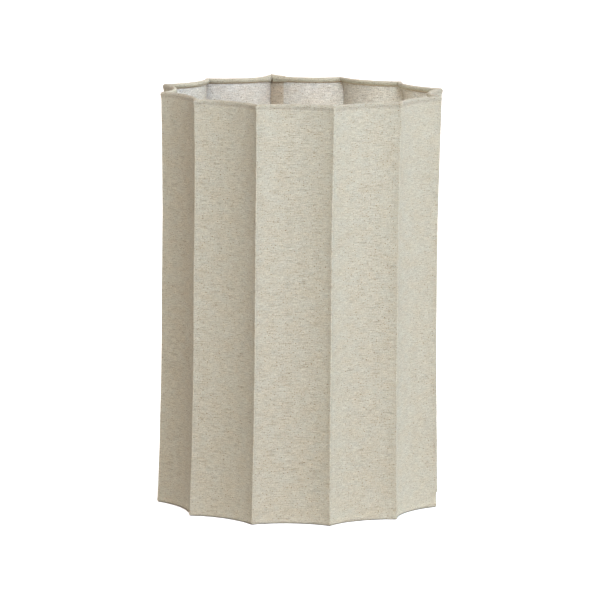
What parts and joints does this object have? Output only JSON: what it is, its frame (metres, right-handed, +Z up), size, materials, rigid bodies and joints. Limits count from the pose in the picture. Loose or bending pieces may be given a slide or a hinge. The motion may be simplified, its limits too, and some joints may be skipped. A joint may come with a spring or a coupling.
{
  "type": "lamp shade",
  "caption": "Tall drum lamp shade of linen over stiff concave panels meeting in sharp upright ridges, with edges rolled over wire rings and a recessed lampholder ring.",
  "frame": {"origin": "middle of the base, on the plane that the bottom rolled edge stands on", "axes": "+Z up along the shade's axis, +Y through the ridge that carries the seam, +X through a plain ridge"},
  "size_m": [0.2798, 0.2798, 0.398],
  "materials": {
    "linen": "natural greige plain-weave linen with small brown flecks and slubs, matt",
    "backing_film": "translucent off-white stiffening film, matt",
    "wire": "off-white powder-coated steel wire and strip, satin"
  },
  "bodies": {
    "root": {"linen_cover": "linen", "top_rolled_edge": "linen", "bottom_rolled_edge": "linen", "backing_panel_01": "backing_film", "backing_panel_02": "backing_film", "backing_panel_03": "backing_film", "backing_panel_04": "backing_film", "backing_panel_05": "backing_film", "backing_panel_06": "backing_film", "backing_panel_07": "backing_film", "backing_panel_08": "backing_film", "backing_panel_09": "backing_film", "backing_panel_10": "backing_film", "backing_panel_11": "backing_film", "backing_panel_12": "backing_film", "top_wire_ring": "wire", "bottom_wire_ring": "wire", "fitter_ring": "wire", "fitter_arm_1": "wire", "fitter_arm_2": "wire", "fitter_arm_3": "wire"}
  },
  "joints": []
}
